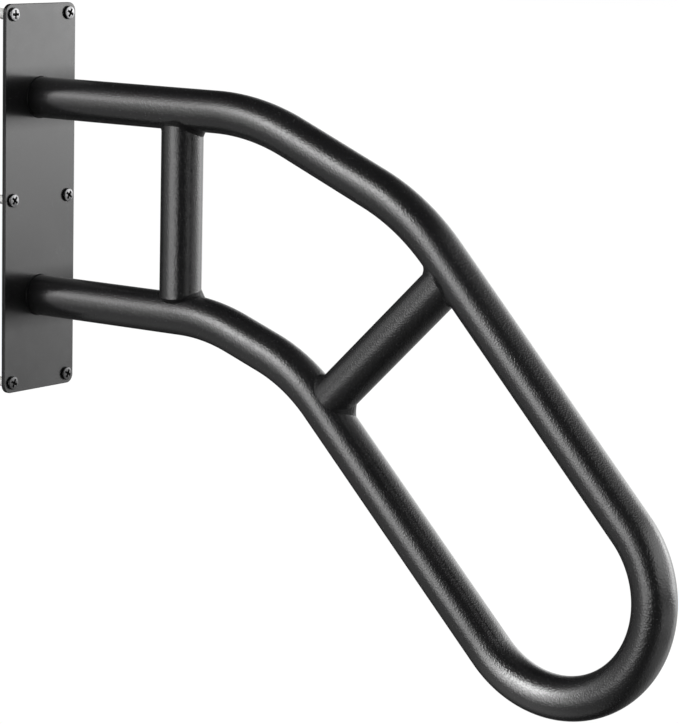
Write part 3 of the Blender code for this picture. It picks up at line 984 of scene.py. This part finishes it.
def finished_screw():
    """The screw with its recess cut and the recess' lip eased."""
    blank = screw_mesh()
    blank.materials.append(SCREW_STEEL)
    cutter = recess_cutter()
    # the recess faces take the painted shade
    cutter.materials.append(RECESS_SHADE)
    mesh = carved(blank, cutter)
    mesh.name = "screw"
    with editing(mesh) as work:
        bmesh.ops.remove_doubles(work, verts=work.verts, dist=0.000002)
        lip = [
            edge
            for edge in work.edges
            if len(edge.link_faces) == 2
            and edge.link_faces[0].material_index != edge.link_faces[1].material_index
            and edge.verts[0].co.z > HEAD_H * 0.6
        ]
        bevel(work, lip, offset=0.00009, segments=2)
    return mesh


# ------------------------------------------------------------------ wall plugs, collars up at z = 0
PLUG_START, PLUG_LENGTH = 0.003, 0.040  # depth of the collar in the wall, length
PLUG_R, PLUG_LIP_R, PLUG_BORE_R = 0.0040, 0.0047, 0.00265
BARB_START, BARB_PITCH = -0.0105, 0.0030
FIN_HALF_T = 0.0004


def plug_mesh(sides=64):
    """The collar and barbed barrel, open through."""
    # radius, height
    profile = [
        (PLUG_BORE_R, 0.0), (PLUG_LIP_R - 0.0002, 0.0), (PLUG_LIP_R, -0.0002),
        (PLUG_LIP_R, -0.0009), (PLUG_LIP_R - 0.0002, -0.0011), (PLUG_R - 0.0004, -0.0016),
        (PLUG_R - 0.0004, BARB_START),
    ]
    z = BARB_START
    while z > -PLUG_LENGTH + 0.0075:
        profile += [(PLUG_R + 0.0003, z - 0.0003), (PLUG_R + 0.0003, z - 0.0008)]
        profile.append((PLUG_R - 0.0005, z - 0.0027))
        z -= BARB_PITCH
        profile.append((PLUG_R - 0.0005, z))
    profile += [
        (PLUG_R - 0.0006, -PLUG_LENGTH + 0.004), (PLUG_R * 0.78, -PLUG_LENGTH + 0.0003),
        (PLUG_R * 0.74, -PLUG_LENGTH), (PLUG_BORE_R, -PLUG_LENGTH),
    ]
    angle = circle(sides)
    rows = [
        np.stack((radius * np.cos(angle), radius * np.sin(angle), np.full(sides, height)), 1)
        for radius, height in profile
    ]
    return mesh_from("wall_plug", np.concatenate(rows), rings(len(rows), sides, closed=True))


def plug_slot():
    """The slot that splits the barrel into two legs."""
    work = bmesh.new()
    for vert in bmesh.ops.create_cube(work, size=1.0)["verts"]:
        vert.co.x *= 0.0009
        vert.co.y *= 0.012
        vert.co.z = -0.0150 if vert.co.z > 0 else -PLUG_LENGTH - 0.001
    return stored("plug_slot", work)


def plug_fins():
    """Two wedge fins that stop the plug turning in its hole."""
    work = bmesh.new()
    # distance from the axis, height
    profile = [(PLUG_R - 0.0010, -0.0022), (PLUG_R + 0.0005, -0.0030),
               (PLUG_R + 0.0005, -0.0075), (PLUG_R - 0.0010, -0.0100)]
    for side in (1, -1):
        first = [work.verts.new((side * x, -FIN_HALF_T, z)) for x, z in profile]
        second = [work.verts.new((side * x, FIN_HALF_T, z)) for x, z in profile]
        work.faces.new(first)
        work.faces.new(second[::-1])
        for i in range(4):
            k = (i + 1) % 4
            work.faces.new((first[i], second[i], second[k], first[k]))
    bmesh.ops.recalc_face_normals(work, faces=work.faces)
    return stored("plug_fins", work)


def finished_plug():
    mesh = combined(carved(plug_mesh(), plug_slot()), plug_fins(), "UNION")
    mesh.materials.clear()
    with editing(mesh) as work:
        bmesh.ops.remove_doubles(work, verts=work.verts, dist=0.000002)
    return mesh


OUT_OF_WALL = Matrix.Rotation(math.radians(90), 4, "Y")  # local +Z to +X


def placed(mesh, place, degrees):
    """A copy spun about its own axis, turned out of the wall and moved to its place."""
    mesh = mesh.copy()
    spin = Matrix.Rotation(math.radians(degrees), 4, "Z")
    mesh.transform(Matrix.Translation(place) @ OUT_OF_WALL @ spin)
    return mesh


SCREW, PLUG = finished_screw(), finished_plug()
for i, (label, (y, z), turn) in enumerate(zip(SCREW_NAMES, SCREW_PLACES, SCREW_TURNS)):
    mesh = placed(SCREW, (PLATE_T + 0.00005, y, z), -turn)
    link(label + "_pan_screw", mesh, SCREW_STEEL, label + "_screw", degrees=34.0,
         weighted=True)
    mesh = placed(PLUG, (-PLUG_START, y, z), 20 + 47 * i)
    link(label + "_ribbed_plug", mesh, PLUG_NYLON, label + "_wall_plug", degrees=34.0,
         weighted=True)

# ------------------------------------------------------------------ camera
CAMERA_PLACE = (1.543569, -1.693890, 0.255181)
YAW, PITCH, ROLL = 0.633559, 0.165665, -0.023306  # radians: from +Y to -X, down, about the view
LENS, SENSOR = 144.6329337, 36.0  # millimetres

scene = bpy.context.scene
ahead = Vector(
    (-math.sin(YAW) * math.cos(PITCH), math.cos(YAW) * math.cos(PITCH), -math.sin(PITCH))
)
level_right = Vector((math.cos(YAW), math.sin(YAW), 0.0))
level_below = ahead.cross(level_right)
right = level_right * math.cos(ROLL) + level_below * math.sin(ROLL)
below = level_below * math.cos(ROLL) - level_right * math.sin(ROLL)
camera_data = bpy.data.cameras.new("camera")
camera_data.sensor_width = SENSOR
camera_data.lens = LENS
camera_data.clip_start, camera_data.clip_end = 0.05, 60.0
camera = bpy.data.objects.new("camera", camera_data)
scene.collection.objects.link(camera)
rows = [(right[i], -below[i], -ahead[i], CAMERA_PLACE[i]) for i in range(3)]
camera.matrix_world = Matrix((*rows, (0.0, 0.0, 0.0, 1.0)))
scene.camera = camera

# ------------------------------------------------------------------ floor
FLOOR_Z, FLOOR_SIZE = -0.80, 20.0


def floor_material():
    """The camera sees evenly lit pale paper; the light round the object passes through it."""
    nodes = Finish("floor_pale", grey(0.9))
    nodes.tree.nodes.remove(nodes.shader)
    grain = nodes.noise(nodes.place(), scale=40.0, detail=3.0)
    path = nodes.add("LightPath")
    paper = nodes.add("Emission")
    nodes.join(nodes.mix(grain, grey(0.99), grey(1.0)), paper.inputs["Color"])
    paper.inputs["Strength"].default_value = 1.02
    clear = nodes.add("BsdfTransparent")
    nodes.either(
        path.outputs["Is Camera Ray"], clear.outputs[0], paper.outputs[0],
        output=nodes.tree.nodes["Material Output"],
    )
    return nodes.material


work = bmesh.new()
bmesh.ops.create_grid(work, x_segments=8, y_segments=8, size=FLOOR_SIZE)
floor_mesh = stored("floor", work)
floor = bpy.data.objects.new("floor", floor_mesh)
floor.location = (0.0, 0.0, FLOOR_Z)
floor_mesh.materials.append(floor_material())
scene.collection.objects.link(floor)

# ------------------------------------------------------------------ world
# Soft panels far off, all in degrees but the last: azimuth from +X towards +Y, elevation, half
# width, half height, softness of the edges, brightness. Seen from the camera, a bright tall bank
# stands to the left, a broad one to the right and a weak bounce comes up from below.
PANELS = (
    (-117.2, 27.4, 10.7, 11.9, 4.6, 11.14),
    (-107.2, 9.2, 14.0, 26.0, 5.6, 5.92),
    (-143.3, 21.1, 3.9, 4.2, 10.7, 8.12),
    (-84.7, -7.3, 13.6, 1.0, 1.2, 8.30),
    (14.3, 26.0, 36.3, 21.7, 5.2, 3.14),
    (52.5, -1.8, 12.1, 3.1, 1.2, 4.34),
    (69.8, 11.8, 6.4, 6.5, 11.2, 19.98),
    (27.9, -40.6, 54.3, 14.8, 8.7, 1.11),
    (-141.1, -60.3, 37.6, 44.8, 15.0, 0.62),
    (11.1, -16.9, 31.2, 7.5, 2.1, 1.08),
    (90.0, -4.6, 36.0, 32.4, 3.0, 0.32),
    (111.0, 4.0, 9.0, 10.0, 3.0, 1.30),
    (-27.1, 14.2, 7.7, 9.8, 1.4, 1.15),
    (39.8, 2.3, 13.7, 6.3, 1.2, 1.45),
)
AMBIENT = 0.005


def panel_glow(nodes):
    """The brightness of all the panels in each direction."""
    x, y, z = nodes.axes(nodes.add("TexCoord").outputs["Generated"])
    azimuth = nodes.math("DEGREES", nodes.math("ARCTAN2", y, x))
    elevation = nodes.math("DEGREES", nodes.math("ARCSINE", z))
    glow = AMBIENT
    for at, height, half_width, half_height, soft, brightness in PANELS:
        aside = nodes.math("WRAP", nodes.math("SUBTRACT", azimuth, at), 180.0, -180.0)
        aside = nodes.math("ABSOLUTE", aside)
        above = nodes.math("ABSOLUTE", nodes.math("SUBTRACT", elevation, height))
        fade = 1.0
        for off, half in ((aside, half_width), (above, half_height)):
            # grows from 1 inside the panel without limit outside it
            edge = nodes.math("EXPONENT", nodes.math("MULTIPLY_ADD", off, 1 / soft, -half / soft))
            fade = nodes.math("MULTIPLY", nodes.math("ADD", edge, 1.0), fade)
        glow = nodes.math("ADD", nodes.math("DIVIDE", brightness, fade), glow)
    return glow


world = bpy.data.worlds.new("studio")
world.use_nodes = True
scene.world = world
nodes = Nodes(world.node_tree)
nodes.tree.nodes.clear()
glow = panel_glow(nodes)
path = nodes.add("LightPath")
seen, room = nodes.add("Background"), nodes.add("Background")
for background, strength in ((seen, 1.0), (room, glow)):
    background.inputs["Color"].default_value = (1.0, 1.0, 1.0, 1.0)
    nodes.feed(strength, background.inputs["Strength"])
# the camera sees plain white, the object the panels
nodes.either(
    path.outputs["Is Camera Ray"], room.outputs[0], seen.outputs[0],
    output=nodes.add("OutputWorld"),
)

scene.view_settings.view_transform = "Standard"
scene.view_settings.look = "None"
